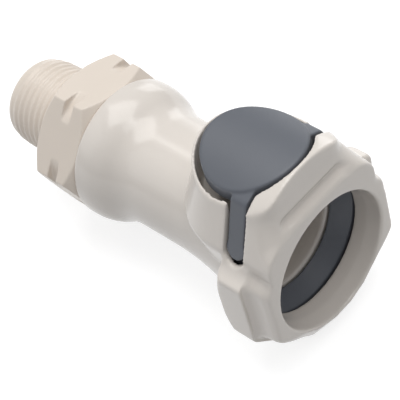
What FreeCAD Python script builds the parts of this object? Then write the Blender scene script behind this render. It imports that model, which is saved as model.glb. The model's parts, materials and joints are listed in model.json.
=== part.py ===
# Plastic quick disconnect coupling: the socket half, with a thumb latch and a shut-off valve.
#
# Frame: X runs along the flow axis and points out of the mouth, Z points up through the
# thumb button, and the origin is on the axis in the plane of the mouth. Millimetres.
import FreeCAD
import Part
import Sketcher
import math
import os

from FreeCAD import Placement, Rotation, Vector

# Driving sizes. A depth is measured from the mouth plane back along the flow axis, and a
# height from the flow axis up, unless the note says otherwise.

SIZES = {
    # mouth and octagonal grip flange
    "mouth_radius": 16.0,        # bore that takes the mating half
    "mouth_depth": 7.2,          # front wall of the latch slot
    "slot_width": 5.4,           # latch slot, along the axis
    "flat_apothem": 21.05,       # axis to each of the eight flats
    "flat_front": 5.2,           # front edge of the flats
    "flange_rear": 13.1,
    "ridge_round": 2.4,          # rounding of the eight ridges
    "rear_bevel": 1.6,           # how far the rear bevel cuts the ridges down
    "scoop_apothem": 19.45,      # flats half way down the scooped front
    "scoop_depth": 3.4,
    "lip_apothem": 18.45,
    "lip_depth": 1.4,            # where the scooped front ends and the lip starts
    "lip_draft": 0.4,            # how far the lip narrows to its front face
    "mouth_bevel": 0.3,
    "under_edge": 0.25,          # lip left in front of its lower bevels
    # barrel
    "barrel_length": 60.8,
    "dome_radius": 16.6,
    "dome_length": 5.6,          # rear end to the corner where the dome starts to fall
    "dome_fall": 5.8,            # from there to the corner where the waist starts
    "waist_radius": 13.35,
    "dome_sweep": 12.2,          # radius of the two curves between dome and waist
    "flare_edge": 27.2,          # corner of the profile where the barrel starts to flare
    "flare_radius": 15.95,       # flare, where the hollow to the flange starts
    "flare_sweep": 70.0,
    "cove_height": 19.0,         # hollow between the barrel and the flange
    "cove_length": 3.4,
    "rear_bevel_dome": 0.4,
    # housing of the button, turned about the button's own axis
    "pocket_depth": 15.7,
    "pocket_radius": 12.4,
    "rim_radius": 13.1,
    "rim_base": 22.7,            # height where the rim turns into the sloping skirt
    "skirt_radius": 17.2,        # widest part of the skirt
    "skirt_height": 12.4,
    "skirt_foot": 14.2,          # radius of the skirt at the flow axis, inside the barrel
    "roof_height": 28.9,         # crown of the roof above the mouth plane
    "roof_fall": 5.8,            # slope of the roof down to the rear, degrees
    "roof_radius": 20.8,         # roof, curved across the flow axis
    "skirt_round": 3.0,
    "rim_sweep": 6.0,            # hollow curve from the skirt up to the rim
    "floor_height": 17.0,        # floor of the pocket
    "brow_foot": 17.9,           # front of the housing: its foot behind the mouth lip
    "brow_bend": 2.0,            # depth and height of the hollow bend in it
    "brow_height": 21.4,
    "brow_depth": 2.5,           # depth of its upper edge
    "brow_sweep": 9.0,
    "brow_round": 5.0,           # rounding of its two upright corners
    "dish_radius": 4.6,          # dished corner between the skirt and the flange ridge
    "dish_side": 21.4,           # its centre, out to the side
    "dish_height": 13.2,
    # flow bores of the body
    "nose_radius": 12.5,         # bore for the nose of the mating half
    "nose_bevel": 0.5,
    "seat_depth": 34.0,
    "seat_radius": 7.4,
    "seat_length": 2.6,
    "chamber_radius": 11.2,
    "spigot_radius": 12.3,       # weld spigot of the adapter
    "spigot_length": 7.4,
    "weld_gap": 0.05,
    # threaded adapter
    "hex_across": 31.75,         # across the hexagon's flats
    "hex_length": 12.6,
    "hex_turn": 21.3,            # turn of the hexagon about the axis, degrees
    "hex_bevel": 2.1,            # length of the bevel on both ends of the hexagon
    "notch_offset": 4.6,         # from the hexagon's front face to the notch
    "notch_width": 2.6,
    "notch_radius": 16.5,        # bottom of the notch that crosses the hexagon's corners
    "pipe_length": 17.4,
    "pipe_tip": 8.95,            # core of the thread at its tip
    "pipe_rise": 0.54,           # how far the core widens to the hexagon
    "pipe_bevel": 0.7,
    "flow_radius": 7.0,
    "hall_radius": 9.7,          # bore behind the valve guide
    "hall_length": 12.0,         # behind the valve guide
    # thumb latch
    "latch_gap": 0.6,            # latch to the walls of its slot
    "button_depth": 15.3,
    "button_radius": 11.25,
    "button_top": 28.3,
    "button_crown": 24.0,        # radius of the button's top across the flow axis
    "button_under": 22.4,
    "button_round": 0.5,
    "ring_radius": 17.4,
    "ring_clearance": 1.8,       # ring to the wall of its slot, for the latch's travel
    "ring_lip": 1.6,             # thickness of the ring's front edge
    "ring_throat": 12.7,         # inside of the ring at its rear
    "leg_root": 6.0,
    "leg_crest": 27.5,
    "leg_shoulder": 11.7,        # corner of the leg's shoulder, out to the side
    "leg_bend": 24.9,            # and up
    "leg_round": 2.0,
    "leg_reach": 16.7,           # outside of the foot
    "leg_foot": 11.6,            # end of the foot
    "leg_thick": 3.0,
    "foot_bulge": 0.35,
    "grip_height": 4.0,
    "foot_grip": 5.0,            # width of the foot where it meets the ring
    "foot_gap": 1.2,             # foot to the end of its slot
    # latch spring
    "coil_setback": 5.8,         # behind the rear wall of the latch slot
    "coil_radius": 4.2,
    "coil_wire": 0.8,
    "coil_turns": 3.0,
    "coil_play": 0.2,            # at each end of a spring
    "cup_depth": 1.2,            # cup for the spring under the button
    "cup_wall": 0.5,
    # valve
    "head_radius": 9.0,
    "head_length": 5.4,
    "head_gap": 0.9,             # seat to the front of the poppet
    "head_taper": 2.0,
    "stem_radius": 2.4,
    "stem_length": 18.6,
    "fin_radius": 6.9,
    "fin_length": 3.2,
    "fin_thick": 1.6,
    "seal_wire": 0.8,            # radius of the seal's section
    "seal_play": 0.15,
    "guide_length": 4.0,
    "guide_rim": 1.4,
    "guide_play": 0.05,
    "hub_radius": 4.4,
    "hub_length": 9.0,
    "stem_play": 0.3,
    "rib_thick": 1.6,
    "rib_length": 3.0,
    "valve_coil_radius": 6.0,
    "valve_coil_wire": 1.0,
    "valve_coil_turns": 3.5,
}

doc = FreeCAD.newDocument("Coupling")
sheet = doc.addObject("Spreadsheet::Sheet", "Sizes")
for row, (alias, value) in enumerate(SIZES.items(), start=1):
    sheet.set(f"A{row}", alias)
    sheet.set(f"B{row}", str(value))
    sheet.setAlias(f"B{row}", alias)
doc.recompute()


class Size:
    """A number together with the expression that drives it."""

    def __init__(self, value, text=None):
        self.value = float(value)
        self.text = text or repr(round(self.value, 9))

    @staticmethod
    def of(other):
        return other if isinstance(other, Size) else Size(other)

    def _with(self, other, sign, value):
        return Size(value, f"({self.text} {sign} {Size.of(other).text})")

    def __add__(self, other):
        return self._with(other, "+", self.value + Size.of(other).value)

    def __sub__(self, other):
        return self._with(other, "-", self.value - Size.of(other).value)

    def __mul__(self, other):
        return self._with(other, "*", self.value * Size.of(other).value)

    def __truediv__(self, other):
        return self._with(other, "/", self.value / Size.of(other).value)

    def __neg__(self):
        return Size(-self.value, f"(-1 * {self.text})")


def size(alias):
    return Size(sheet.get(alias), f"Sizes.{alias}")


def trig(function, angle):
    """sin, cos or tan of an angle in degrees."""
    angle = Size.of(angle)
    value = getattr(math, function)(math.radians(angle.value))
    return Size(value, f"{function}({angle.text} * 1 deg)")


def bind(obj, **properties):
    for name, value in properties.items():
        obj.setExpression(name, Size.of(value).text)
    return obj


def place(obj, position=(0, 0, 0), rotation=None):
    """A fixed turn and a driven position."""
    steps = [Size.of(step) for step in position]
    obj.Placement = Placement(Vector(*[step.value for step in steps]), rotation or Rotation())
    for letter, step in zip("xyz", steps):
        if "Sizes" in step.text:
            obj.setExpression(f"Placement.Base.{letter}", step.text)
    return obj


# Turns for outlines and primitives: the first two axes of an outline and its normal
ALONG_XZ = Rotation(Vector(1, 0, 0), 90)
ALONG_YZ = Rotation(Vector(0, 1, 0), Vector(0, 0, 1), Vector(1, 0, 0), "ZXY")
AXIS_X = Rotation(Vector(0, 1, 0), 90)
AXIS_Y = Rotation(Vector(1, 0, 0), -90)

RIGHT = {"XY_Plane": Rotation(), "XZ_Plane": ALONG_XZ, "YZ_Plane": ALONG_YZ}


def outline(name, corners, rounds=None, plane="XZ_Plane", offset=0, body=None, shift=(0, 0, 0)):
    """A closed polygon sketched through driven corners, with driven roundings at some.

    In a body the sketch lies on the body's own plane, offset along the normal; on its own it
    stands in the same plane and is shifted in space."""
    rounds = rounds or {}
    points = [(Size.of(u), Size.of(v)) for u, v in corners]
    flat = [Vector(u.value, v.value, 0) for u, v in points]
    count = len(points)
    if body is None:
        sketch = doc.addObject("Sketcher::SketchObject", name)
        place(sketch, shift, RIGHT[plane])
    else:
        sketch = body.newObject("Sketcher::SketchObject", name)
        origin = [part for part in body.Origin.OriginFeatures if part.Role == plane][0]
        sketch.AttachmentSupport = [(origin, "")]
        sketch.MapMode = "FlatFace"
        if "Sizes" in Size.of(offset).text:
            sketch.setExpression("AttachmentOffset.Base.z", offset.text)

    def drive(kind, element, spot, value, label):
        value = Size.of(value)
        index = sketch.addConstraint(Sketcher.Constraint(kind, -1, 1, element, spot, value.value))
        if "Sizes" in value.text:
            sketch.renameConstraint(index, label)
            sketch.setExpression(f"Constraints.{label}", value.text)

    # where the straight edges start and stop, with the roundings taken off
    starts, stops, arcs = list(flat), [None] * count, {}
    for i, radius in rounds.items():
        before = (flat[i - 1] - flat[i]).normalize()
        after = (flat[(i + 1) % count] - flat[i]).normalize()
        half = before.getAngle(after) / 2
        back = Size.of(radius).value / math.tan(half)
        centre = flat[i] + (before + after).normalize() * (Size.of(radius).value / math.sin(half))
        starts[i] = flat[i] + after * back
        arcs[i] = (flat[i] + before * back, centre)
    for i in range(count):
        following = (i + 1) % count
        stops[i] = arcs[following][0] if following in arcs else flat[following]
    lines = [sketch.addGeometry(Part.LineSegment(starts[i], stops[i])) for i in range(count)]
    for i in range(count):
        if i not in rounds:
            sketch.addConstraint(Sketcher.Constraint("Coincident", lines[i - 1], 2, lines[i], 1))
            drive("DistanceX", lines[i], 1, points[i][0], f"u{i}")
            drive("DistanceY", lines[i], 1, points[i][1], f"v{i}")
            continue
        first, centre = arcs[i]
        last = starts[i]
        left = ((first - centre).cross(last - centre)).z > 0
        from_to = (first, last) if left else (last, first)
        turn = [math.atan2(p.y - centre.y, p.x - centre.x) for p in from_to]
        circle = Part.Circle(centre, Vector(0, 0, 1), Size.of(rounds[i]).value)
        arc = sketch.addGeometry(Part.ArcOfCircle(circle, turn[0], turn[1]))
        spots = (1, 2) if left else (2, 1)
        corner = sketch.addGeometry(Part.Point(flat[i]), True)
        drive("DistanceX", corner, 1, points[i][0], f"u{i}")
        drive("DistanceY", corner, 1, points[i][1], f"v{i}")
        sketch.addConstraint(Sketcher.Constraint("PointOnObject", corner, 1, lines[i - 1]))
        sketch.addConstraint(Sketcher.Constraint("PointOnObject", corner, 1, lines[i]))
        sketch.addConstraint(Sketcher.Constraint("Tangent", lines[i - 1], 2, arc, spots[0]))
        sketch.addConstraint(Sketcher.Constraint("Tangent", lines[i], 1, arc, spots[1]))
        index = sketch.addConstraint(Sketcher.Constraint("Radius", arc, Size.of(rounds[i]).value))
        sketch.renameConstraint(index, f"r{i}")
        sketch.setExpression(f"Constraints.r{i}", Size.of(rounds[i]).text)
    return sketch


def octagon(name, apothem, rounding, depth):
    """The flange's octagon with rounded corners, square to the axis, flats up and down."""
    reach = apothem * math.tan(math.pi / 8)
    corners = []
    for i in range(8):
        turn = math.pi / 4 * i
        u = apothem * math.cos(turn) - reach * math.sin(turn)
        v = apothem * math.sin(turn) + reach * math.cos(turn)
        corners.append((u, v))
    rounds = {i: rounding for i in range(8)}
    return outline(name, corners, rounds, "YZ_Plane", shift=(-depth, 0, 0))


def revolve(name, sketch, axis=(1, 0, 0), depth=0):
    """A full turn about the flow axis, or about an upright line at a depth."""
    turned = doc.addObject("Part::Revolution", name)
    turned.Source = sketch
    turned.Axis = Vector(*axis)
    turned.Angle = 360
    turned.Solid = True
    if "Sizes" in Size.of(depth).text:
        turned.setExpression("Base.x", (-depth).text)
    return turned


def extrude(name, sketch, length, direction=(1, 0, 0)):
    pushed = doc.addObject("Part::Extrusion", name)
    pushed.Base = sketch
    pushed.DirMode = "Custom"
    pushed.Dir = Vector(*direction)
    pushed.Solid = True
    return bind(pushed, LengthFwd=length)


def loft(name, sections):
    blend = doc.addObject("Part::Loft", name)
    blend.Sections = sections
    blend.Solid = True
    blend.Ruled = False
    return blend


def cylinder(name, radius, height, position=(0, 0, 0), rotation=None):
    rod = doc.addObject("Part::Cylinder", name)
    bind(rod, Radius=radius, Height=height)
    return place(rod, position, rotation)


def joined(name, pieces):
    whole = doc.addObject("Part::MultiFuse", name)
    whole.Shapes = pieces
    whole.Refine = True
    return whole


def shared(name, pieces):
    whole = doc.addObject("Part::MultiCommon", name)
    whole.Shapes = pieces
    return whole


def cut(name, base, tool):
    whole = doc.addObject("Part::Cut", name)
    whole.Base = base
    whole.Tool = tool
    whole.Refine = True
    return whole


def rounded(name, base, radius, chosen):
    """Rounds the edges of base for which chosen(edge) holds."""
    doc.recompute()
    soft = doc.addObject("Part::Fillet", name)
    soft.Base = base
    numbers = [i for i, edge in enumerate(base.Shape.Edges, start=1) if chosen(edge)]
    soft.Edges = [(i, radius.value, radius.value) for i in numbers]
    return soft


# Depths and heights that several pieces share

mouth_radius = size("mouth_radius")
slot_front = size("mouth_depth")
slot_rear = slot_front + size("slot_width")
slot_middle = (slot_front + slot_rear) / 2
barrel_length = size("barrel_length")
flange_rear = size("flange_rear")
pocket_depth = size("pocket_depth")
button_depth = size("button_depth")
cavity_radius = size("ring_radius") + size("ring_clearance")
seat_rear = size("seat_depth") + size("seat_length")
socket_depth = barrel_length - size("spigot_length")
guide_rear = socket_depth + size("guide_length")
latch_thick = size("slot_width") - size("latch_gap") * 2
latch_front = slot_front + size("latch_gap")
latch_rear = slot_rear - size("latch_gap")
hex_rear = barrel_length + size("hex_length")
tip_depth = hex_rear + size("pipe_length")
beyond = Size(60)                # reach of a cutting tool past the part

# Coupling body: barrel, octagonal flange and button housing, moulded in one piece

dome_edge = barrel_length - size("dome_length")
cove_start = flange_rear + size("cove_length")
cove_rise = size("cove_height") - size("flare_radius")
barrel_outline = outline("BarrelOutline", [
    (-barrel_length, 0),
    (-barrel_length, size("dome_radius") - size("rear_bevel_dome")),
    (-(barrel_length - size("rear_bevel_dome")), size("dome_radius")),
    (-dome_edge, size("dome_radius")),
    (-(dome_edge - size("dome_fall")), size("waist_radius")),
    (-size("flare_edge"), size("waist_radius")),
    (-cove_start, size("flare_radius")),
    (-(flange_rear + size("cove_length") * 0.45), size("flare_radius") + cove_rise * 0.22),
    (-(flange_rear + size("cove_length") * 0.12), size("flare_radius") + cove_rise * 0.6),
    (-flange_rear, size("cove_height")),
    (-slot_front, size("cove_height")),
    (-slot_front, 0),
], {
    3: size("dome_sweep"),
    4: size("dome_sweep"),
    5: size("flare_sweep"),
})
barrel = revolve("Barrel", barrel_outline)

flat_octagon = octagon("FlatOctagon", size("flat_apothem"), size("ridge_round"), flange_rear)
flange_block = extrude("FlangeBlock", flat_octagon, flange_rear - size("flat_front"))
bevel_cone = doc.addObject("Part::Cone", "RearBevel")
bevel_reach = flange_rear - size("flat_front")
bind(bevel_cone, Radius1=size("flat_apothem"), Height=bevel_reach,
     Radius2=size("flat_apothem") + bevel_reach * size("rear_bevel") / 1.5)
place(bevel_cone, (-flange_rear, 0, 0), AXIS_X)
flats = shared("BevelledFlats", [flange_block, bevel_cone])

scoop_start = octagon("ScoopStart", size("flat_apothem"), size("ridge_round"), size("flat_front"))
scoop_half = octagon("ScoopHalf", size("scoop_apothem"), size("ridge_round"), size("scoop_depth"))
scoop_end = octagon("ScoopEnd", size("lip_apothem"), size("ridge_round"), size("lip_depth"))
lip_face = octagon("LipFace", size("lip_apothem") - size("lip_draft"), size("ridge_round"), Size(0))
scoop = loft("ScoopedFront", [scoop_start, scoop_half, scoop_end])
lip = loft("Lip", [scoop_end, lip_face])

rim_top = size("roof_height") + 6
housing_outline = outline("HousingOutline", [
    (0, 0),
    (size("skirt_foot"), 0),
    (size("skirt_radius"), size("skirt_height")),
    (size("rim_radius"), size("rim_base")),
    (size("rim_radius"), rim_top),
    (0, rim_top),
], {
    2: size("skirt_round"),
    3: size("rim_sweep"),
}, shift=(-pocket_depth, 0, 0))
housing_turned = revolve("HousingTurned", housing_outline, (0, 0, 1), pocket_depth)
roof_start = Size(8)
roof_height = size("roof_height") + roof_start * trig("tan", size("roof_fall"))
roof = cylinder("Roof", size("roof_radius"), beyond,
                (roof_start, 0, roof_height - size("roof_radius")), AXIS_X)
roof.setExpression("Placement.Rotation.Angle", "(270 - Sizes.roof_fall) * 1 deg")
brow_section = outline("BrowSection", [
    (-size("skirt_foot"), 0),
    (size("skirt_foot"), 0),
    (size("skirt_radius"), size("skirt_height")),
    (size("rim_radius"), size("rim_base")),
    (size("rim_radius"), rim_top),
    (-size("rim_radius"), rim_top),
    (-size("rim_radius"), size("rim_base")),
    (-size("skirt_radius"), size("skirt_height")),
], {
    2: size("skirt_round"),
    3: size("rim_sweep"),
    6: size("rim_sweep"),
    7: size("skirt_round"),
}, "YZ_Plane", shift=(-pocket_depth, 0, 0))
brow_block = extrude("BrowBlock", brow_section, pocket_depth)
brow_slope = outline("BrowSlope", [
    (-pocket_depth, 0),
    (0, 0),
    (0, size("brow_foot")),
    (-size("brow_bend"), size("brow_height")),
    (-size("brow_depth"), rim_top),
    (-pocket_depth, rim_top),
], {3: size("brow_sweep")}, shift=(0, beyond, 0))
brow_cutter = extrude("BrowCutter", brow_slope, beyond * 2, (0, -1, 0))
brow_sharp = shared("BrowSharp", [brow_block, brow_cutter])


def upright_corner(edge):
    box = edge.BoundBox
    steep = box.ZLength > box.XLength and box.ZLength > box.YLength
    ahead = box.XMax > -size("brow_depth").value - 0.01
    return steep and ahead and box.ZMax > size("brow_foot").value + 0.01


brow = rounded("Brow", brow_sharp, size("brow_round"), upright_corner)
behind_mouth = doc.addObject("Part::Box", "BehindMouth")
bind(behind_mouth, Length=beyond, Width=beyond * 2, Height=beyond * 2)
place(behind_mouth, (-beyond, -beyond, -beyond))
housing_whole = joined("HousingWhole", [housing_turned, brow])
housing = shared("Housing", [housing_whole, roof, behind_mouth])

solid_body = joined("SolidBody", [barrel, flats, scoop, lip, housing])

passage_outline = outline("PassageOutline", [
    (4, 0),
    (4, mouth_radius + size("mouth_bevel") + 4),
    (-size("mouth_bevel"), mouth_radius),
    (-slot_front, mouth_radius),
    (-slot_front, cavity_radius),
    (-slot_rear, cavity_radius),
    (-slot_rear, size("nose_radius") + size("nose_bevel")),
    (-(slot_rear + size("nose_bevel")), size("nose_radius")),
    (-size("seat_depth"), size("nose_radius")),
    (-size("seat_depth"), size("seat_radius")),
    (-seat_rear, size("seat_radius")),
    (-seat_rear, size("chamber_radius")),
    (-socket_depth, size("chamber_radius")),
    (-socket_depth, size("spigot_radius") + size("weld_gap")),
    (-(barrel_length + 1), size("spigot_radius") + size("weld_gap")),
    (-(barrel_length + 1), 0),
])
passage = revolve("Passage", passage_outline)

pocket = cylinder("Pocket", size("pocket_radius"), beyond, (-pocket_depth, 0, size("floor_height")))
slot_radius = size("slot_width") / 2
slot_end = size("leg_foot") - size("foot_gap")
leg_slot = doc.addObject("Part::Box", "LegSlot")
bind(leg_slot, Length=size("slot_width"), Width=beyond * 2, Height=beyond)
place(leg_slot, (-slot_rear, -beyond, slot_end + slot_radius))
slot_foot = cylinder("SlotFoot", slot_radius, beyond * 2,
                     (-slot_middle, -beyond, slot_end + slot_radius), AXIS_Y)
dishes = []
for side, direction in (("Near", -1), ("Far", 1)):
    dish = cylinder(f"{side}Dish", size("dish_radius"), flange_rear,
                    (-flange_rear, size("dish_side") * direction, size("dish_height")), AXIS_X)
    dishes.append(dish)

# The lip thins out towards the bottom, where five bevels meet the bore. They are turned by
# fixed angles in degrees: round the axis, and back from the mouth plane
UNDER_ANGLES = (146.3, 163.1, 180.0, 196.9, 213.7)
UNDER_TILT = math.radians(33)
bevel_side = 12.0
bevel_edge = mouth_radius + size("under_edge")
bevels = []
for index, angle in enumerate(UNDER_ANGLES):
    turn = math.radians(angle)
    radial = Vector(0, math.sin(turn), math.cos(turn))
    along = Vector(0, math.cos(turn), -math.sin(turn))
    outward = Vector(1, 0, 0) * math.cos(UNDER_TILT) + radial * math.sin(UNDER_TILT)
    turned = Rotation(along.cross(outward), along, outward, "ZXY")
    back = turned.multVec(Vector(bevel_side, bevel_side, 0))
    bevel = doc.addObject("Part::Box", f"UnderBevel{index}")
    bind(bevel, Length=bevel_side * 2, Width=bevel_side * 2, Height=bevel_side)
    place(bevel, (-back.x, bevel_edge * radial.y - back.y, bevel_edge * radial.z - back.z), turned)
    bevels.append(bevel)
lower_bevels = joined("LowerBevels", bevels)

openings = joined("Openings", [passage, pocket, leg_slot, slot_foot] + dishes)
bevelled_body = cut("BevelledBody", solid_body, lower_bevels)
coupling_body = cut("coupling_body", bevelled_body, openings)

# Thumb latch: button, two legs and the locking ring, moulded in one piece

button_disc = cylinder("ButtonDisc", size("button_radius"), beyond,
                       (-button_depth, 0, size("button_under")))
crown = cylinder("ButtonCrown", size("button_crown"), beyond,
                 (-beyond, 0, size("button_top") - size("button_crown")), AXIS_X)
button_sharp = shared("ButtonSharp", [button_disc, crown])
top_edge = lambda edge: edge.BoundBox.ZMin > size("button_under").value + 1 and edge.BoundBox.YLength > 5
button_soft = rounded("ButtonSoft", button_sharp, size("button_round"), top_edge)
coil_depth = slot_rear + size("coil_setback")
cup_radius = size("coil_radius") + size("coil_wire") / 2 + size("cup_wall")
cup = cylinder("SpringCup", cup_radius, size("cup_depth") + 1,
               (-coil_depth, 0, size("button_under") - 1))
button = cut("Button", button_soft, cup)

leg_outline = outline("LegOutline", [
    (size("leg_root"), size("button_under")),
    (size("leg_root"), size("leg_crest")),
    (size("leg_shoulder"), size("leg_bend")),
    (size("leg_reach"), size("leg_foot")),
    (size("leg_reach") - size("foot_grip"), size("leg_foot")),
    (size("leg_reach") - size("foot_grip"), size("leg_foot") + size("grip_height")),
    (size("leg_shoulder") - size("leg_thick"), size("button_under")),
], {2: size("leg_round")}, "YZ_Plane", shift=(-(latch_rear + size("foot_bulge")), 0, 0))
leg_block = extrude("LegBlock", leg_outline, latch_thick + size("foot_bulge") * 2)
leg_radius = latch_thick / 2 + size("foot_bulge")
leg_width = doc.addObject("Part::Box", "LegWidth")
bind(leg_width, Length=latch_thick, Width=beyond, Height=beyond)
place(leg_width, (-latch_rear, 0, size("leg_foot") + leg_radius))
foot_round = cylinder("FootRound", leg_radius, beyond,
                      (-slot_middle, 0, size("leg_foot") + leg_radius), AXIS_Y)
leg_shape = joined("LegShape", [leg_width, foot_round])
far_leg = shared("FarLeg", [leg_block, leg_shape])
near_leg = doc.addObject("Part::Mirroring", "NearLeg")
near_leg.Source = far_leg
near_leg.Normal = Vector(0, 1, 0)

ring_outline = outline("RingOutline", [
    (-latch_front, size("ring_radius") - size("ring_lip")),
    (-latch_front, size("ring_radius")),
    (-latch_rear, size("ring_radius")),
    (-latch_rear, size("ring_throat")),
])
ring = revolve("LockingRing", ring_outline)
thumb_latch = joined("thumb_latch", [button, far_leg, near_leg, ring])


def coil(name, radius, wire, turns, start, stop, across):
    """A round wire wound about an upright line, or about the flow axis if across is set."""
    height = stop - start - wire
    helix = doc.addObject("Part::Helix", name + "_path")
    bind(helix, Radius=radius, Height=height, Pitch=height / turns)
    section = doc.addObject("Part::RegularPolygon", name + "_wire")
    section.Polygon = 6
    bind(section, Circumradius=wire / 2)
    place(section, (radius, 0, 0), Rotation(Vector(1, 0, 0), 90))
    wound = doc.addObject("Part::Sweep", name)
    wound.Sections = [section]
    wound.Spine = (helix, ["Edge1"])
    wound.Solid = True
    wound.Frenet = True
    low = start + wire / 2
    return place(wound, (low, 0, 0), AXIS_X) if across else place(wound, (-coil_depth, 0, low))


latch_spring = coil("latch_spring", size("coil_radius"), size("coil_wire"), size("coil_turns"),
                    size("floor_height") + size("coil_play"),
                    size("button_under") + size("cup_depth") - size("coil_play"), False)

# Threaded adapter: welded into the barrel, hexagon and taper pipe thread


def feature(body, kind, name, sketch, **driven):
    """A feature of a body; a turned one goes all round the flow axis."""
    made = body.newObject(f"PartDesign::{kind}", name)
    made.Profile = sketch
    if kind in ("Revolution", "Groove"):
        made.ReferenceAxis = (sketch, ["H_Axis"])
        made.Angle = 360
    bind(made, **driven)
    body.Tip = made
    doc.recompute()
    return made


def spread(body, name, repeated, sketch, count):
    """Copies of a feature spread evenly about the flow axis."""
    pattern = body.newObject("PartDesign::PolarPattern", name)
    pattern.Originals = [repeated]
    pattern.Axis = (sketch, ["N_Axis"])
    pattern.Angle = 360
    pattern.Occurrences = count
    body.Tip = pattern
    doc.recompute()
    return pattern


threaded_adapter = doc.addObject("PartDesign::Body", "threaded_adapter")
hex_apothem = size("hex_across") / 2
hex_corner = size("hex_across") / math.sqrt(3)
hex_middle = barrel_length + size("hex_length") / 2
pipe_root = size("pipe_tip") + size("pipe_rise")
core_sketch = outline("CoreSketch", [
    (-socket_depth, 0),
    (-socket_depth, size("spigot_radius")),
    (-hex_middle, size("spigot_radius")),
    (-hex_middle, pipe_root),
    (-hex_rear, pipe_root),
    (-(tip_depth - size("pipe_bevel")), size("pipe_tip")),
    (-tip_depth, size("pipe_tip") - size("pipe_bevel")),
    (-tip_depth, 0),
], body=threaded_adapter)
feature(threaded_adapter, "Revolution", "Core", core_sketch)
hex_corners = []
for i in range(6):
    turn = -(size("hex_turn") + 60 * i)
    hex_corners.append((hex_corner * trig("sin", turn), hex_corner * trig("cos", turn)))
hex_sketch = outline("HexSketch", hex_corners, plane="YZ_Plane", offset=-hex_rear,
                     body=threaded_adapter)
feature(threaded_adapter, "Pad", "Hexagon", hex_sketch, Length=size("hex_length"))
for name, face, inward in (("FrontBevel", barrel_length, 1), ("RearBevelHex", hex_rear, -1)):
    bevel_sketch = outline(name + "Sketch", [
        (-face, hex_apothem),
        (-(face + size("hex_bevel") * inward), hex_corner),
        (-(face + size("hex_bevel") * inward), hex_corner + 1),
        (-(face - Size(1) * inward), hex_corner + 1),
        (-(face - Size(1) * inward), hex_apothem),
    ], body=threaded_adapter)
    feature(threaded_adapter, "Groove", name, bevel_sketch)
notch_front = barrel_length + size("notch_offset")
notch_rear = notch_front + size("notch_width")
notch_sketch = outline("NotchSketch", [
    (-notch_front, size("notch_radius")),
    (-notch_front, hex_corner + 1),
    (-notch_rear, hex_corner + 1),
    (-notch_rear, size("notch_radius")),
], body=threaded_adapter)
feature(threaded_adapter, "Groove", "CornerNotch", notch_sketch)
hall_end = guide_rear + size("hall_length")
bore_sketch = outline("BoreSketch", [
    (-(socket_depth - 1), 0),
    (-(socket_depth - 1), size("chamber_radius")),
    (-guide_rear, size("chamber_radius")),
    (-guide_rear, size("hall_radius")),
    (-hall_end, size("hall_radius")),
    (-hall_end, size("flow_radius")),
    (-(tip_depth + 1), size("flow_radius")),
    (-(tip_depth + 1), 0),
], body=threaded_adapter)
feature(threaded_adapter, "Groove", "FlowBore", bore_sketch)

# Shut-off valve: poppet with its seal, spring and guide

head_front = seat_rear + size("head_gap")
head_rear = head_front + size("head_length")
seal_radius = (size("seat_radius") + size("head_radius")) / 2
boss_radius = seal_radius - size("seal_wire") - size("seal_play")
shoulder = seat_rear + size("seal_play") * 1.3 + size("seal_wire") * 2
nose_depth = head_front - size("fin_length")
stem_end = head_rear + size("stem_length")
valve_poppet = doc.addObject("PartDesign::Body", "valve_poppet")
poppet_sketch = outline("PoppetSketch", [
    (-nose_depth, 0),
    (-nose_depth, size("stem_radius")),
    (-head_front, size("stem_radius")),
    (-head_front, boss_radius),
    (-shoulder, boss_radius),
    (-shoulder, size("head_radius")),
    (-(head_rear - size("head_taper")), size("head_radius")),
    (-head_rear, size("valve_coil_radius") + size("valve_coil_wire")),
    (-head_rear, size("stem_radius")),
    (-stem_end, size("stem_radius")),
    (-stem_end, 0),
], body=valve_poppet)
feature(valve_poppet, "Revolution", "HeadAndStem", poppet_sketch)
fin_half = size("fin_thick") / 2
fin_sketch = outline("FinSketch", [
    (-fin_half, 0),
    (fin_half, 0),
    (fin_half, size("fin_radius")),
    (-fin_half, size("fin_radius")),
], plane="YZ_Plane", offset=-head_front, body=valve_poppet)
fin = feature(valve_poppet, "Pad", "Fin", fin_sketch, Length=size("fin_length"))
spread(valve_poppet, "Fins", fin, fin_sketch, 4)

seal_section = doc.addObject("Part::RegularPolygon", "SealSection")
seal_section.Polygon = 12
bind(seal_section, Circumradius=size("seal_wire"))
place(seal_section, (-(seat_rear + size("seal_play") + size("seal_wire")), 0, seal_radius),
      ALONG_XZ)
poppet_seal = revolve("poppet_seal", seal_section)

valve_guide = doc.addObject("PartDesign::Body", "valve_guide")
guide_radius = size("chamber_radius") - size("guide_play")
hub_sketch = outline("HubSketch", [
    (-socket_depth, size("stem_radius") + size("stem_play")),
    (-socket_depth, size("hub_radius")),
    (-(socket_depth + size("hub_length")), size("hub_radius")),
    (-(socket_depth + size("hub_length")), size("stem_radius") + size("stem_play")),
], body=valve_guide)
feature(valve_guide, "Revolution", "Hub", hub_sketch)
rib_half = size("rib_thick") / 2
rib_sketch = outline("RibSketch", [
    (-rib_half, size("hub_radius") - 0.6),
    (rib_half, size("hub_radius") - 0.6),
    (rib_half, guide_radius - size("guide_rim") / 2),
    (-rib_half, guide_radius - size("guide_rim") / 2),
], plane="YZ_Plane", offset=-(socket_depth + size("rib_length")), body=valve_guide)
rib = feature(valve_guide, "Pad", "Rib", rib_sketch, Length=size("rib_length"))
spread(valve_guide, "Ribs", rib, rib_sketch, 3)
rim_sketch = outline("RimSketch", [
    (-socket_depth, guide_radius - size("guide_rim")),
    (-socket_depth, guide_radius),
    (-(guide_rear - size("guide_play")), guide_radius),
    (-(guide_rear - size("guide_play")), guide_radius - size("guide_rim")),
], body=valve_guide)
feature(valve_guide, "Revolution", "Rim", rim_sketch)

valve_spring = coil("valve_spring", size("valve_coil_radius"), size("valve_coil_wire"),
                    size("valve_coil_turns"), -(socket_depth - size("coil_play")),
                    -(head_rear + size("coil_play")), True)

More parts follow.
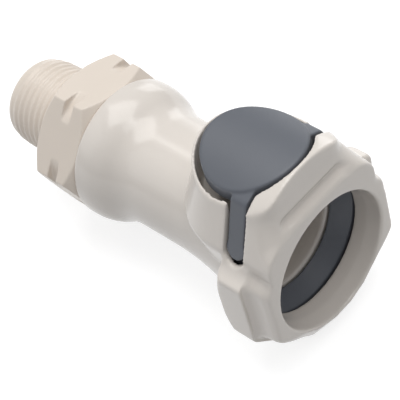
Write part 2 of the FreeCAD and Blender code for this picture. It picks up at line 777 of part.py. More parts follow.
# Check every object, then write one file for each piece

NODES = {
    "coupling_body": coupling_body,
    "threaded_adapter": threaded_adapter,
    "thumb_latch": thumb_latch,
    "latch_spring": latch_spring,
    "valve_poppet": valve_poppet,
    "poppet_seal": poppet_seal,
    "valve_spring": valve_spring,
    "valve_guide": valve_guide,
}
doc.recompute()
for obj in doc.Objects:
    if "Invalid" in obj.State or "Error" in obj.State:
        raise RuntimeError(f"{obj.Name} failed: {obj.State}")
os.makedirs("parts", exist_ok=True)
for name, piece in NODES.items():
    piece.Label = name
    shape = piece.Shape
    if shape.isNull() or not shape.isValid() or len(shape.Solids) != 1:
        raise RuntimeError(f"{name} is not one valid solid")
    shape.exportStep(f"parts/{name}.step")
    box = shape.BoundBox
    print(f"{name}: volume {shape.Volume:.1f}, X {box.XMin:.2f} {box.XMax:.2f},"
          f" Y {box.YMin:.2f} {box.YMax:.2f}, Z {box.ZMin:.2f} {box.ZMax:.2f}")
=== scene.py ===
# %% [markdown]
# # A plastic quick disconnect coupling
# This is the socket half of a tubing coupling: a beige moulded body with an octagonal grip
# flange, a grey thumb latch whose ring locks the other half in, and a pipe thread behind a
# hexagon. The CAD model gives every size. This script softens the moulded shapes the way a
# steel mould leaves them, cuts the pipe thread, winds the springs and gives each piece its
# finish. Lengths are metres, so `MM` turns the drawing's millimetres into Blender's units.

# %% Load the frame
import json
import math

import bmesh
import bpy
from mathutils import Matrix, Vector

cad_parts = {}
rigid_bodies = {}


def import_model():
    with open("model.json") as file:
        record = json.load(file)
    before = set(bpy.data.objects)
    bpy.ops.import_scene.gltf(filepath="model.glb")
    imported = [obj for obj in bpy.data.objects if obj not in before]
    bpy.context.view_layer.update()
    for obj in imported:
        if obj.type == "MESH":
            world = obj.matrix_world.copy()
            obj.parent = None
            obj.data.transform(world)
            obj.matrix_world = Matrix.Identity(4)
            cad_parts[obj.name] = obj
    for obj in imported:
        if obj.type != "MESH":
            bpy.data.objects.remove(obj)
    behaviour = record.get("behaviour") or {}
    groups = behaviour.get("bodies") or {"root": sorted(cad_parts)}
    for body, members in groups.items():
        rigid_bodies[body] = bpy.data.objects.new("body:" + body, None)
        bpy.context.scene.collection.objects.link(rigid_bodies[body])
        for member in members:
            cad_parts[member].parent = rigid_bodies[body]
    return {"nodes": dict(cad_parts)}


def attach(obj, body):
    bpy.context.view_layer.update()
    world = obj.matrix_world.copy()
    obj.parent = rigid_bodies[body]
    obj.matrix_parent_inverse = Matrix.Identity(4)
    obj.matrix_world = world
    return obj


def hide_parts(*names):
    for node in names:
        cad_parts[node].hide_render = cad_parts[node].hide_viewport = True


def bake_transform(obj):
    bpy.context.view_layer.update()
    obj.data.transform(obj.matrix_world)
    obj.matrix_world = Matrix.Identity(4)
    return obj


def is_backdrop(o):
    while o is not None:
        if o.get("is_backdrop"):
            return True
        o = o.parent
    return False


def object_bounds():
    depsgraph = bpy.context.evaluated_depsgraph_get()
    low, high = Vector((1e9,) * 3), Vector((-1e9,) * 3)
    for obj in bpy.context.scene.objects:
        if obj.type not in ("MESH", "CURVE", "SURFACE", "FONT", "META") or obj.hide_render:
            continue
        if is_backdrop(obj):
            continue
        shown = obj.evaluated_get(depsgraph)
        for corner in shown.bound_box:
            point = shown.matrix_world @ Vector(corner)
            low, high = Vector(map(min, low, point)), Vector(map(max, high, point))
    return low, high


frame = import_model()
cad_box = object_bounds()
scene = bpy.context.scene
MM = 0.001
print("nodes:", sorted(frame["nodes"]))

# %% [markdown]
# ## The camera
# A camera can be aimed with angles or with a tracking constraint. Here its three own axes are
# known, so they become the columns of its matrix: right, up and backwards. The coupling lies
# turned in the picture, and the rolled `up` axis gives that turn. The lens is long, like a
# product photographer's, so the hexagon at the back is hardly smaller than the mouth.

# %% Camera
CAMERA_PLACE = Vector((0.162583, -0.136764, 0.263519))
CAMERA_RIGHT = Vector((0.72276, 0.65907, -0.20797))
CAMERA_UP = Vector((-0.40984, 0.65105, 0.63888))
CAMERA_BACK = Vector((0.55647, -0.37652, 0.74066))

lens = bpy.data.cameras.new("product_lens")
lens.lens = 147.45
lens.sensor_width = 36.0
lens.clip_start = 0.02
lens.clip_end = 20.0
camera = bpy.data.objects.new("camera", lens)
scene.collection.objects.link(camera)
camera.matrix_world = Matrix((CAMERA_RIGHT, CAMERA_UP, CAMERA_BACK)).transposed().to_4x4()
camera.matrix_world.translation = CAMERA_PLACE
scene.camera = camera
print("camera to the mouth:", round(CAMERA_PLACE.length / MM), "mm")

# %% [markdown]
# ## Writing shader maths as expressions
# A finish is a small network of nodes. Wiring every Math node by hand hides the idea, so a
# `Value` wraps an output socket and overloads `+` and `*`. Then `0.3 + 0.05 * grain` reads
# like the formula and adds the nodes. The reflected forms let a plain number stand first.


# %% Sums of sockets
class Value:
    """An output socket that can be used in sums."""

    def __init__(self, finish, socket):
        self.finish = finish
        self.socket = socket

    def math(self, operation, first, second):
        """A Math node on two values; each may be a socket or a number."""
        return self.finish.node("ShaderNodeMath", {"operation": operation}, {0: first, 1: second})

    def __add__(self, other):
        return self.math("ADD", self, other)

    def __radd__(self, other):
        return self.math("ADD", other, self)

    def __mul__(self, other):
        return self.math("MULTIPLY", self, other)

    def __rmul__(self, other):
        return self.math("MULTIPLY", other, self)


print("sockets can be added and multiplied")

# %% [markdown]
# ## Building a finish
# A material could be wired in the shader editor, but in a script it can be rebuilt and read.
# `Finish` starts a material and adds any node with one call. A node's settings come first,
# because they can change which sockets it has. The noise is laid on Object coordinates, in
# metres, so its blobs have a real size and stay on the piece when it moves.


# %% Finish helper
class Finish:
    """One material, with the Principled shader that its nodes feed."""

    def __init__(self, name):
        self.material = bpy.data.materials.new(name)
        self.material.use_nodes = True
        self.tree = self.material.node_tree
        self.shader = self.tree.nodes["Principled BSDF"]

    def node(self, kind, settings=None, inputs=None, output=0):
        """Adds a node of a kind, sets it up, feeds its sockets and gives one output."""
        made = self.tree.nodes.new(kind)
        for setting, value in (settings or {}).items():
            setattr(made, setting, value)
        self.feed(made, inputs or {})
        return Value(self, made.outputs[output])

    def feed(self, made, inputs):
        """Links sockets to sockets, and writes plain values straight on the socket."""
        for socket, value in inputs.items():
            if isinstance(value, Value):
                self.tree.links.new(value.socket, made.inputs[socket])
            else:
                made.inputs[socket].default_value = value

    def surface(self, **inputs):
        """Sets sockets of the Principled shader; an underscore stands for a space."""
        self.feed(self.shader, {name.replace("_", " "): value for name, value in inputs.items()})

    def place(self, stretch=(1, 1, 1)):
        """Where a point is on the piece, in metres; stretch squeezes a pattern along axes."""
        coordinates = self.node("ShaderNodeTexCoord", output="Object")
        return self.node("ShaderNodeMapping", {}, {"Vector": coordinates, "Scale": stretch})

    def noise(self, where, size, detail=2.0, roughness=0.5):
        """Soft cloudy noise between 0 and 1, with blobs of about this size in metres."""
        return self.node("ShaderNodeTexNoise", {}, {
            "Vector": where, "Scale": 1 / size, "Detail": detail, "Roughness": roughness})

    def blend(self, share, first, second):
        """A colour between two colours; both are RGBA."""
        return self.node("ShaderNodeMix", {"data_type": "RGBA"}, {0: share, 6: first, 7: second},
                         output=2)

    def bump(self, height, strength, distance, under=None):
        """Bends the surface by a height, on top of another bump if one is given."""
        inputs = {"Height": height, "Strength": strength, "Distance": distance}
        if under is not None:
            inputs["Normal"] = under
        return self.node("ShaderNodeBump", {}, inputs)


print("a finish starts from the Principled shader")

# %% [markdown]
# ## The beige plastic
# The body is a natural polysulfone, a cream plastic that comes out of a polished steel mould.
# Close up it has three things: a slow cloudy change of tint where the melt cooled at different
# speeds, a very fine grain from the mould, and shallow ripples that bend its reflections. Each
# is a noise texture at its own scale. Only the grain and the ripples go to the bump. The grain
# and the long scuffs also change the roughness a little, so highlights break up.

# %% Moulded plastic finish
CLOUD_SIZE = 14 * MM
RIPPLE_SIZE = 5 * MM
SCUFF_SIZE = 0.5 * MM
SCUFF_STRETCH = (0.3, 1, 1)
PLASTIC_IOR = 1.5
BUMP_STRENGTH = 0.6
GRAIN_ROUGHNESS = 0.06
SCUFF_ROUGHNESS = 0.05


def moulded_plastic(name, tint, shade, roughness, grain_size, grain_depth, ripple_depth):
    """Plastic from a mould: cloudy tint, fine grain and slow ripples. Depths are in metres."""
    finish = Finish(name)
    where = finish.place()
    cloud = finish.noise(where, CLOUD_SIZE, detail=3)
    grain = finish.noise(where, grain_size, detail=3, roughness=0.65)
    ripple = finish.noise(where, RIPPLE_SIZE, detail=1)
    scuff = finish.noise(finish.place(SCUFF_STRETCH), SCUFF_SIZE, detail=4, roughness=0.7)
    rippled = finish.bump(ripple, BUMP_STRENGTH, ripple_depth)
    finish.surface(
        Base_Color=finish.blend(cloud, tint, shade),
        Roughness=roughness - 0.05 + GRAIN_ROUGHNESS * grain + SCUFF_ROUGHNESS * scuff,
        Normal=finish.bump(grain, BUMP_STRENGTH, grain_depth, under=rippled))
    finish.surface(IOR=PLASTIC_IOR)
    return finish.material


body_plastic = moulded_plastic(
    "cream_plastic", tint=(0.715, 0.665, 0.612, 1), shade=(0.745, 0.692, 0.640, 1),
    roughness=0.17, grain_size=0.5 * MM, grain_depth=0.004 * MM, ripple_depth=0.03 * MM)
print("the body's plastic is", body_plastic.name)

# %% [markdown]
# ## The adapter's and the latch's plastic
# The adapter is moulded apart from the body, of a slightly warmer and duller batch. The latch
# is a grey plastic from a mould with an etched, matte face, so its grain is finer and deeper.
# The same formula makes both: only its numbers change, which keeps the three a family.

# %% Plastics of the adapter and the latch
adapter_plastic = moulded_plastic(
    "warm_plastic", tint=(0.735, 0.655, 0.575, 1), shade=(0.765, 0.682, 0.600, 1),
    roughness=0.34, grain_size=0.4 * MM, grain_depth=0.006 * MM, ripple_depth=0.02 * MM)
latch_plastic = moulded_plastic(
    "slate_plastic", tint=(0.108, 0.118, 0.138, 1), shade=(0.122, 0.132, 0.154, 1),
    roughness=0.44, grain_size=0.22 * MM, grain_depth=0.03 * MM, ripple_depth=0.02 * MM)
print("the others are", adapter_plastic.name, "and", latch_plastic.name)

# %% [markdown]
# ## Steel and rubber
# The springs sit inside and show only through the mouth and the gap round the button. Their
# stainless wire is pulled through a die, which leaves fine lines, so its noise is stretched. The
# seal is black rubber: dull, slightly dusty, with a fine leathery skin. Both could borrow the
# plastic's formula, but metal and rubber answer light differently, so each has its own.

# %% Steel and rubber finishes
DRAWN_STRETCH = (1, 6, 6)
DRAWN_SIZE = 0.4 * MM
DUST_SIZE = 1.5 * MM
SKIN_SIZE = 0.15 * MM
FINE_DEPTH = 0.01 * MM
STEEL_DARK = (0.50, 0.50, 0.51, 1)
STEEL_BRIGHT = (0.64, 0.64, 0.65, 1)
RUBBER_BLACK = (0.016, 0.016, 0.017, 1)
RUBBER_DUSTY = (0.034, 0.033, 0.032, 1)


def drawn_steel(name):
    """Bright wire with fine lines from the die that drew it."""
    finish = Finish(name)
    lines = finish.noise(finish.place(DRAWN_STRETCH), DRAWN_SIZE, detail=4, roughness=0.7)
    finish.surface(
        Base_Color=finish.blend(lines, STEEL_DARK, STEEL_BRIGHT),
        Roughness=0.22 + 0.14 * lines,
        Normal=finish.bump(lines, strength=0.4, distance=FINE_DEPTH))
    finish.surface(Metallic=1.0)
    return finish.material


def moulded_rubber(name):
    """Black rubber with a trace of dust."""
    finish = Finish(name)
    where = finish.place()
    dust = finish.noise(where, DUST_SIZE, detail=4)
    skin = finish.noise(where, SKIN_SIZE, detail=3)
    finish.surface(
        Base_Color=finish.blend(dust, RUBBER_BLACK, RUBBER_DUSTY),
        Roughness=0.48 + 0.14 * skin,
        Normal=finish.bump(skin, strength=0.5, distance=FINE_DEPTH))
    return finish.material


spring_steel = drawn_steel("spring_wire")
seal_rubber = moulded_rubber("black_rubber")
print("inside finishes:", spring_steel.name, seal_rubber.name)

# %% [markdown]
# ## Starting a piece
# A piece is a mesh object at the origin with its place in its mesh. `new_piece` makes one from
# a bmesh. `cad_copy` starts a bmesh from a CAD node: that mesh is loose triangles, so its
# doubled corners are merged before anything works on it.

# %% Piece helpers
MERGE_GAP = 0.002 * MM


def new_piece(name, shape, material, body):
    """A smooth shaded object from a bmesh, with its finish, that rides on a body."""
    mesh = bpy.data.meshes.new(name)
    shape.to_mesh(mesh)
    shape.free()
    mesh.materials.append(material)
    mesh.shade_smooth()
    piece = bpy.data.objects.new(name, mesh)
    scene.collection.objects.link(piece)
    if body:
        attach(piece, body)
    return piece


def cad_copy(node):
    """A closed bmesh from a CAD node's loose triangles, with one material."""
    shape = bmesh.new()
    shape.from_mesh(frame["nodes"][node].data)
    bmesh.ops.remove_doubles(shape, verts=shape.verts, dist=MERGE_GAP)
    for face in shape.faces:
        face.material_index = 0
    return shape


print("corners nearer than", round(MERGE_GAP / MM, 3), "mm are merged")

# %% [markdown]
# ## Skin and brush
# Every edge of a real moulding is round, and its blends cross each other. Bevels fail on such
# surfaces, and modelling the blends by hand would move the sizes. So a piece is covered with an
# even skin of tiny quads, and a smoothing brush is passed over it many times. A vertex group
# says how hard the brush presses at each point. `settled` then replaces the object's mesh by
# the result of its modifiers, which keeps every piece plain for the export.

# %% Skin and brush helpers
BRUSH = 0.5


def settled(piece):
    """Applies the piece's modifiers and gives the count of its faces."""
    graph = bpy.context.evaluated_depsgraph_get()
    result = bpy.data.meshes.new_from_object(piece.evaluated_get(graph), depsgraph=graph)
    piece.modifiers.clear()
    piece.vertex_groups.clear()
    piece.data = result
    piece.data.shade_smooth()
    return len(result.polygons)


def remesh(piece, voxel):
    """An even skin of small quads over everything the mesh encloses."""
    skin = piece.modifiers.new("skin", "REMESH")
    skin.mode = "VOXEL"
    skin.voxel_size = voxel
    return settled(piece)


def mask(piece, name, weight):
    """A vertex group from weight(x, y, z), which takes millimetres and gives 0 to 1."""
    group = piece.vertex_groups.new(name=name)
    for corner in piece.data.vertices:
        share = weight(*(value / MM for value in corner.co))
        if share > 0:
            group.add([corner.index], share, "REPLACE")
    return name


def brush(piece, factor, steps, group=""):
    """Passes a smoothing brush over the piece, within a vertex group if one is named."""
    stroke = piece.modifiers.new("stroke", "SMOOTH")
    stroke.factor = factor
    stroke.iterations = steps
    stroke.vertex_group = group


def soften(piece, steps, keep, weight=None):
    """Rounds edges off, then keeps this share of the faces, mostly where it curves."""
    brush(piece, BRUSH, steps, mask(piece, "softness", weight) if weight else "")
    thin = piece.modifiers.new("thin", "DECIMATE")
    thin.ratio = keep
    return settled(piece)


print("the brush moves a point", BRUSH, "of the way to its neighbours")

# %% [markdown]
# ## The moulded body
# The body is one moulding: barrel, octagonal flange and button housing. Its mouth narrows a
# little inwards, as a guide for the half that slides in. The bore's points could be pulled in
# by a formula, but a slim wedge, spun about the flow axis before the skin goes on, gives the
# same taper from four plain sizes, and the skin takes it in without a seam.

# %% Lead-in of the mouth
MOUTH_RADIUS = 16.0
LEAD_IN = ((-0.4, 15.97), (-2.2, 15.75), (-3.8, 15.4), (-7.1, 15.2))
SKIN_COVER = 0.6
LEAD_IN_STEPS = 96
BODY_VOXEL = 0.3


def lead_in(shape):
    """Spins a slim wedge about the flow axis. Its points are pairs of x and radius."""
    back = MOUTH_RADIUS + SKIN_COVER
    outline = (*LEAD_IN, (LEAD_IN[-1][0], back), (LEAD_IN[0][0], back))
    section = [shape.verts.new((x * MM, 0, z * MM)) for x, z in outline]
    face = shape.faces.new(section)
    bmesh.ops.spin(shape, geom=[face] + list(face.edges) + section, cent=(0, 0, 0),
                   axis=(1, 0, 0), angle=2 * math.pi, steps=LEAD_IN_STEPS, use_merge=True)


body_shape = cad_copy("coupling_body")
lead_in(body_shape)
moulded_body = new_piece("moulded_body", body_shape, body_plastic, "housing")
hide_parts("coupling_body")
print("skin on the body:", remesh(moulded_body, BODY_VOXEL * MM), "faces")

# %% [markdown]
# ## The lip and the ridge of the flange
# A groove runs behind the lip of the mouth, the lip swells into a soft bead, and the ridge of
# the flange on the far side stands a little proud. Such forms could be sculpted with a brush.
# Here each point of the skin goes through `carve` instead, a small formula that says how far
# it moves, so the sizes stay readable. `fade` and `swell` shape every slope in it.

# %% Ramps
def fade(value, start, end):
    """0 before start, 1 after end, even between them."""
    return min(1.0, max(0.0, (value - start) / (end - start)))


def swell(value, start, top, slope, end):
    """Rises smoothly from start to top, stays, and falls from slope to end."""
    share = fade(value, start, top) * (1 - fade(value, slope, end))
    return share * share * (3 - 2 * share)


print("half way up a ramp:", fade(1.5, 1.0, 2.0))

# %% Lip, groove and ridge
LIP_APOTHEM = 18.45                 # from the flow axis to the lip's flats
LIP_UPPER = (2.2, 2.5)              # the groove runs out between these angles from the top
GROOVE_DEPTH = 1.7
GROOVE_ACROSS = (0.0, 0.9, 1.2, 3.4)
GROOVE_FRONT = (0.7, 1.4)
GROOVE_BACK = (4.6, 6.4)
LIP_RISE = 0.45
LIP_ACROSS = (-1.6, -0.4, 0.2, 0.8)
LIP_BACK = (1.8, 2.6)
RIDGE_RISE = 0.9
RIDGE_ANGLE = math.radians(67.5)
RIDGE_AROUND = (-0.34, -0.04, 0.04, 0.34)
RIDGE_ALONG = (3.4, 6.4, 10.0, 13.6)
RIDGE_RADIUS = (18.5, 21.0)
CARVED_DEPTH = 14.0


def carve(x, y, z):
    """Where a point of the skin goes, so that the lip and the flange's ridge stand out."""
    radius = math.hypot(y, z)
    angle = math.atan2(y, z)
    across = max(abs(y), abs(z), (abs(y) + abs(z)) * math.sqrt(0.5)) - LIP_APOTHEM
    upper = 1 - fade(abs(angle), *LIP_UPPER)
    groove = GROOVE_DEPTH * swell(across, *GROOVE_ACROSS) * fade(-x, *GROOVE_FRONT) * upper
    groove *= 1 - fade(-x, *GROOVE_BACK)
    lip = LIP_RISE * swell(across, *LIP_ACROSS) * (1 - fade(-x, *LIP_BACK)) * upper
    ridge = RIDGE_RISE * swell(angle - RIDGE_ANGLE, *RIDGE_AROUND)
    ridge *= swell(-x, *RIDGE_ALONG) * fade(radius, *RIDGE_RADIUS)
    grown = 1 + (ridge + lip) / max(radius, 1.0)
    return x - groove, y * grown, z * grown


for corner in moulded_body.data.vertices:
    if corner.co.x > -CARVED_DEPTH * MM:
        corner.co = Vector(carve(*(value / MM for value in corner.co))) * MM
print("carved a groove", GROOVE_DEPTH, "mm deep and a ridge", RIDGE_RISE, "mm high")

# %% [markdown]
# ## The rim of the pocket
# The housing ends in a thin rim round the button, and a skin of coarse quads leaves its edge
# slightly toothed. More smoothing would wear the rim down. So each press of the brush is
# followed by a pull that is a little stronger: teeth vanish, while the wall keeps its height.

# %% Even rim
POCKET_DEPTH = 15.7
POCKET_RADIUS = 12.4
RIM_WALL = 0.7
RIM_FOOT = (18.5, 19.5)
RIM_ASIDE = (0.8, 1.3)
RIM_PASSES = 36
PRESS_AND_PULL = (0.5, -0.53)


def rim_share(x, y, z):
    """1 on the thin rim round the button's pocket, and 0 away from it."""
    aside = abs(math.hypot(x + POCKET_DEPTH, y) - POCKET_RADIUS - RIM_WALL / 2)
    return fade(z, *RIM_FOOT) * (1 - fade(aside, *RIM_ASIDE))


rim = mask(moulded_body, "evenness", rim_share)
for factor in PRESS_AND_PULL * RIM_PASSES:
    brush(moulded_body, factor, 1, rim)
print("evened rim:", settled(moulded_body), "faces")

# %% [markdown]
# ## Where the body is soft
# On the real head the outside flows without a crease, while the bore, the pocket and the latch
# slot keep crisp edges. One brush does both, because its weight changes from place to place:
# full on the outside of the head, a trace inside and on the barrel, and least in the slot.

# %% Softness of the body
CALM = 0.08                         # what the brush does everywhere
SLOT_FRONT = 7.2
SLOT_REAR = 12.6
SLOT_END = 10.4
SLOT_MARGIN = (0.1, 1.6)
SLOT_WALL = 0.6
SLOT_OUTER_RADIUS = 19.2
LEG_SIDE = 8                        # the legs' slots lie further out than this
LEG_FOOT = 2
OUTSIDE = (16.6, 18.0)
POCKET_MARGIN = (0.3, 2.2)
POCKET_FLOOR = 15
BROW_UP = (13.0, 18.0)
BROW_BACK = (3.0, 5.0)
BROW_LEAST = 0.2
FAR_SIDE = 15
FAR_FOOT = 4
FAR_SIDE_LEAST = 0.5
HEAD_END = (-19.0, -16.0)
BODY_STROKES = 90
BODY_KEEP = 0.45


def slot_softness(x, y, z, radius):
    """0 in the slots of the ring and the legs, 1 well away from them."""
    if -SLOT_REAR - SLOT_WALL < x < -SLOT_FRONT + SLOT_WALL and radius < SLOT_OUTER_RADIUS:
        return 0.0
    if abs(y) > LEG_SIDE and z > SLOT_END - LEG_FOOT:
        return fade(max(x + SLOT_FRONT, -SLOT_REAR - x, SLOT_END - z), *SLOT_MARGIN)
    return 1.0


def body_softness(x, y, z):
    """Full on the outside of the head, and little near its bores, pocket and slots."""
    radius = math.hypot(y, z)
    pocket = 1.0
    if z > POCKET_FLOOR:
        past_rim = math.hypot(x + POCKET_DEPTH, y) - POCKET_RADIUS
        pocket = fade(past_rim, *POCKET_MARGIN)
    brow = BROW_LEAST + (1 - BROW_LEAST) * fade(z, *BROW_UP) * fade(-x, *BROW_BACK)
    if y > FAR_SIDE and z > FAR_FOOT:
        brow = max(brow, FAR_SIDE_LEAST)
    slot = slot_softness(x, y, z, radius)
    return CALM + (1 - CALM) * fade(radius, *OUTSIDE) * pocket * slot * fade(x, *HEAD_END) * brow


faces = soften(moulded_body, BODY_STROKES, BODY_KEEP, body_softness)
print("softened body:", faces, "faces")

# %% [markdown]
# ## The thumb latch
# Button, legs and ring are one moulding in grey plastic. The legs leave the button in small
# hollow curves and the button's rim is rounded. Bevels on those edges would meet badly where a
# leg leaves the rim, so the latch gets the same skin and brush. It is small: the skin is finer
# and the brush passes only a few times.

# %% Thumb latch
LATCH_VOXEL = 0.2
LATCH_STROKES = 14
LATCH_KEEP = 0.6

soft_latch = new_piece("soft_latch", cad_copy("thumb_latch"), latch_plastic, "latch")
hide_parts("thumb_latch")
print("skin on the latch:", remesh(soft_latch, LATCH_VOXEL * MM), "faces")
print("softened latch:", soften(soft_latch, LATCH_STROKES, LATCH_KEEP), "faces")

# %% [markdown]
# ## The threaded adapter
# A pipe thread is one ridge that winds round a cone. `spin` makes it: with a step along the
# axis it turns a small section into a helix. A Screw modifier would wind it too, but without
# the taper that comes next. The section is a low sleeve with a crest on top, a little wider
# than the pitch, so that neighbouring turns overlap and leave no gap.

# %% Thread section
PITCH = 25.4 / 14
THREAD_TURNS = 9.9
THREAD_START = -91.5
STEPS_A_TURN = 48
CORE_TIP = 9.0                      # radius of the plain core at the pipe's tip
ROOT_HEIGHT = 0.95
RIDGE_HEIGHT = 1.5
ROOT_DEPTH = 0.35
CREST_HALF = 0.2
OVERLAP = 0.1


def wind_ridge(shape):
    """Winds the ridge from the pipe's tip towards the hexagon, and gives its corners."""
    half = PITCH / 2
    outline = [(-half - OVERLAP, -ROOT_DEPTH), (-half - OVERLAP, ROOT_HEIGHT),
               (-half + OVERLAP, ROOT_HEIGHT), (-CREST_HALF, RIDGE_HEIGHT),
               (CREST_HALF, RIDGE_HEIGHT), (half - OVERLAP, ROOT_HEIGHT),
               (half + OVERLAP, ROOT_HEIGHT), (half + OVERLAP, -ROOT_DEPTH)]
    core = set(shape.verts)
    section = [shape.verts.new(((THREAD_START + x) * MM, 0, (CORE_TIP + z) * MM))
               for x, z in outline]
    face = shape.faces.new(section)
    bmesh.ops.spin(shape, geom=[face] + list(face.edges) + section, cent=(0, 0, 0),
                   axis=(1, 0, 0), dvec=(PITCH / STEPS_A_TURN * MM, 0, 0),
                   angle=THREAD_TURNS * 2 * math.pi,
                   steps=round(THREAD_TURNS * STEPS_A_TURN), use_duplicate=False)
    return [corner for corner in shape.verts if corner not in core]


adapter_shape = cad_copy("threaded_adapter")
ridge_corners = wind_ridge(adapter_shape)
print("thread ridge:", len(ridge_corners), "corners")

# %% [markdown]
# ## The taper of the thread
# A pipe thread narrows 1 in 16 across, so each corner moves out by about a thirty-second of
# its distance from the tip. At the tip the sleeve and then the crest rise out of the core, as the
# first turn of a real thread does, and nothing passes the pipe's end. Then the skin merges
# ridge and core, and a light brush rounds the hexagon's edges.

# %% Tapered thread
PIPE_TIP = -90.7
CORE_SLOPE = 0.54 / 17.4
SLEEVE_START = (-0.4, 1.1)
CREST_START = (1.2, 3.8)
ADAPTER_VOXEL = 0.25
ADAPTER_STROKES = 5
ADAPTER_KEEP = 0.6


def taper(corner):
    """Moves a corner of the ridge onto the cone, and sinks it into the core at the tip."""
    corner.co.x = max(corner.co.x, PIPE_TIP * MM)
    along = corner.co.x / MM - PIPE_TIP
    radius = math.hypot(corner.co.y, corner.co.z) / MM
    height = radius - CORE_TIP
    sleeve = min(height, ROOT_HEIGHT * fade(along, *SLEEVE_START)) if height > 0 else height
    crest = max(height - ROOT_HEIGHT, 0) * fade(along, *CREST_START)
    tapered = CORE_TIP + CORE_SLOPE * along + sleeve + crest
    corner.co.y *= tapered / radius
    corner.co.z *= tapered / radius


for corner in ridge_corners:
    taper(corner)
on_ridge = set(ridge_corners)
bmesh.ops.recalc_face_normals(adapter_shape, faces=[
    face for face in adapter_shape.faces if on_ridge.issuperset(face.verts)])
threaded_end = new_piece("threaded_end", adapter_shape, adapter_plastic, "housing")
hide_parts("threaded_adapter")
print("skin on the adapter:", remesh(threaded_end, ADAPTER_VOXEL * MM), "faces")
print("softened adapter:", soften(threaded_end, ADAPTER_STROKES, ADAPTER_KEEP), "faces")

# %% [markdown]
# ## The springs
# Both springs are round wire wound in an open helix. A curve with a bevel would do it, but
# `spin` gives the closed mesh at once.

# %% Wound wire
WIRE_SIDES = 14
WIRE_STEPS = 40
QUARTER_TURN = math.pi / 2


def wound_wire(name, radius, wire, turns, low, high, upright):
    """A closed helix of round wire about Z, or about the flow axis when it isn't upright."""
    shape = bmesh.new()
    steps = round(turns * WIRE_STEPS)
    climb = (high - low - 2 * wire) / steps
    made = bmesh.ops.create_circle(shape, cap_ends=True, segments=WIRE_SIDES, radius=wire * MM)
    bmesh.ops.rotate(shape, verts=made["verts"], cent=(0, 0, 0),
                     matrix=Matrix.Rotation(QUARTER_TURN, 3, "X"))
    bmesh.ops.translate(shape, verts=made["verts"], vec=(radius * MM, 0, (low + wire) * MM))
    bmesh.ops.spin(shape, geom=list(shape.faces) + list(shape.edges) + list(shape.verts),
                   cent=(0, 0, 0), axis=(0, 0, 1), dvec=(0, 0, climb * MM),
                   angle=turns * 2 * math.pi, steps=steps, use_duplicate=False)
    bmesh.ops.recalc_face_normals(shape, faces=shape.faces)
    if not upright:
        bmesh.ops.rotate(shape, verts=shape.verts, cent=(0, 0, 0),
                         matrix=Matrix.Rotation(QUARTER_TURN, 3, "Y"))
    return new_piece(name, shape, spring_steel, None)


print("wire has", WIRE_SIDES, "sides and", WIRE_STEPS, "steps a turn")

# %% Springs
SPRING_DEPTH = 18.4

latch_coil = wound_wire("latch_coil", radius=4.2, wire=0.4, turns=3.0, low=17.2, high=23.4,
                        upright=True)
latch_coil.data.transform(Matrix.Translation((-SPRING_DEPTH * MM, 0, 0)))
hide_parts("latch_spring")
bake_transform(latch_coil)
valve_coil = wound_wire("valve_coil", radius=6.0, wire=0.5, turns=3.5, low=-53.2, high=-43.1,
                        upright=False)
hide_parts("valve_spring")
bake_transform(valve_coil)
for coil in (latch_coil, valve_coil):
    print(coil.name, [round(side / MM, 1) for side in coil.dimensions], "mm")

# %% [markdown]
# ## Finishes on the pieces that stay as they are
# The poppet, its seal and the guide are plain round mouldings, and their CAD meshes are right.
# They only need their finish, which goes in their first material slot. The CAD nodes that a
# finer piece stands for get the same finish, so that each node has its own material.

# %% Finishes of the CAD nodes
NODE_FINISHES = {"valve_poppet": adapter_plastic, "poppet_seal": seal_rubber,
                 "valve_guide": adapter_plastic, "latch_spring": spring_steel,
                 "valve_spring": spring_steel, "coupling_body": body_plastic,
                 "threaded_adapter": adapter_plastic, "thumb_latch": latch_plastic}
for node, material in NODE_FINISHES.items():
    kept = frame["nodes"][node]
    kept.data.materials.clear()
    kept.data.materials.append(material)
    print(node, "is", material.name)

# %% [markdown]
# ## Floor and backdrop
# The coupling lies on plain white paper. Lit white paper would throw too much light back up,
# so its own colour is a mid grey that only catches the shadow. To camera, glossy and
# transmission rays it also glows a little, through the Light Path node: the picture and the
# reflections show white paper, and the coupling gets no more light from it.

# %% Floor
FLOOR_HEIGHT = cad_box[0][2]
FLOOR_GAP = 0.05 * MM
FLOOR_HALF = 2.5
FLOOR_GLOW = 0.75
PAPER_GREY = (0.45, 0.45, 0.45, 1)
BLACK = (0, 0, 0, 1)
WHITE = (1, 1, 1, 1)

floor_shape = bmesh.new()
bmesh.ops.create_grid(floor_shape, x_segments=8, y_segments=8, size=FLOOR_HALF)
bmesh.ops.translate(floor_shape, verts=floor_shape.verts, vec=(0, 0, FLOOR_HEIGHT - FLOOR_GAP))
floor_mesh = bpy.data.meshes.new("floor")
floor_shape.to_mesh(floor_mesh)
floor_shape.free()
floor = bpy.data.objects.new("floor", floor_mesh)
scene.collection.objects.link(floor)
floor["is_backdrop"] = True

paper = Finish("paper")
seen = paper.node("ShaderNodeLightPath", output="Is Camera Ray")
for kind in ("Is Glossy Ray", "Is Transmission Ray"):
    seen = seen.math("MAXIMUM", seen, paper.node("ShaderNodeLightPath", output=kind))
paper.surface(Base_Color=PAPER_GREY, Roughness=0.9, Emission_Strength=FLOOR_GLOW,
              Emission_Color=paper.blend(seen, BLACK, WHITE))
floor_mesh.materials.append(paper.material)
print("floor at", round(FLOOR_HEIGHT / MM, 2), "mm")

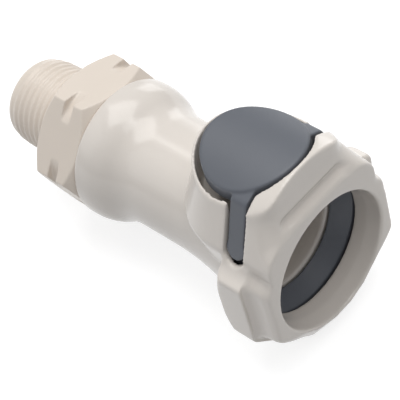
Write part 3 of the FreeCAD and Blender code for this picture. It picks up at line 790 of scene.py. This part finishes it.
# %% [markdown]
# ## Light
# Four soft boxes and a bright room. The large box hangs overhead and draws the square window
# on the barrel's shoulder. A small one above the mouth lights the lip, a strip low behind the
# coupling draws the thin streaks along its far edge, and a wide, weak one at the hexagon end
# fills the near side. The world is the room: soft and a little cool, so undersides turn grey.
# One sun would be simpler, but it draws hard shadows that moulded plastic in a studio lacks.

# %% Soft boxes
LIT_POINT = Vector((-0.04, 0, 0))   # the middle of the coupling, in metres
LAMP_WHITE = (1.0, 1.0, 1.0)
LAMP_WARM = (1.0, 0.99, 0.97)


def soft_box(name, direction, distance, size, power, tint):
    """A rectangular lamp that faces the coupling from a direction. Sizes are in metres."""
    light = bpy.data.lights.new(name, "AREA")
    light.shape = "RECTANGLE"
    light.size, light.size_y = size
    light.energy = power
    light.color = tint
    box = bpy.data.objects.new(name, light)
    scene.collection.objects.link(box)
    toward = Vector(direction).normalized()
    box.matrix_world = toward.to_track_quat("Z", "Y").to_matrix().to_4x4()
    box.matrix_world.translation = toward * distance + LIT_POINT


soft_box("overhead_box", direction=(-0.18, 0.2, 0.96), distance=1.0, size=(0.78, 0.78),
         power=5.9, tint=LAMP_WARM)
soft_box("mouth_box", direction=(0.4, 0.05, 0.92), distance=1.0, size=(0.4, 0.4),
         power=1.2, tint=LAMP_WARM)
soft_box("back_strip", direction=(-0.45, 0.88, 0.12), distance=1.0, size=(0.3, 0.6),
         power=1.2, tint=LAMP_WHITE)
soft_box("left_fill", direction=(-0.6, -0.55, 0.6), distance=1.3, size=(1.0, 1.0),
         power=1.7, tint=LAMP_WHITE)

# %% Room light
ROOM_TINT = (0.95, 0.97, 1.0, 1)
ROOM_STRENGTH = 0.43

world = bpy.data.worlds.new("room")
world.use_nodes = True
room = world.node_tree.nodes["Background"]
room.inputs["Color"].default_value = ROOM_TINT
room.inputs["Strength"].default_value = ROOM_STRENGTH
scene.world = world
scene.view_settings.view_transform = "Standard"
print("the room gives", ROOM_STRENGTH, "of full white")

# %% [markdown]
# ## Sizes
# Both the CAD model's box and the dressed model's box are gathered, and the sides of the
# dressed one are printed in millimetres. The dressed model has to stay in the CAD model's box.

# %% Gather the sizes and finish
plain = {"cad": [list(corner) for corner in cad_box],
         "visual": [list(corner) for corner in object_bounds()]}
print("box sides in mm:", [round((high - low) / MM, 2) for low, high in zip(*plain["visual"])])
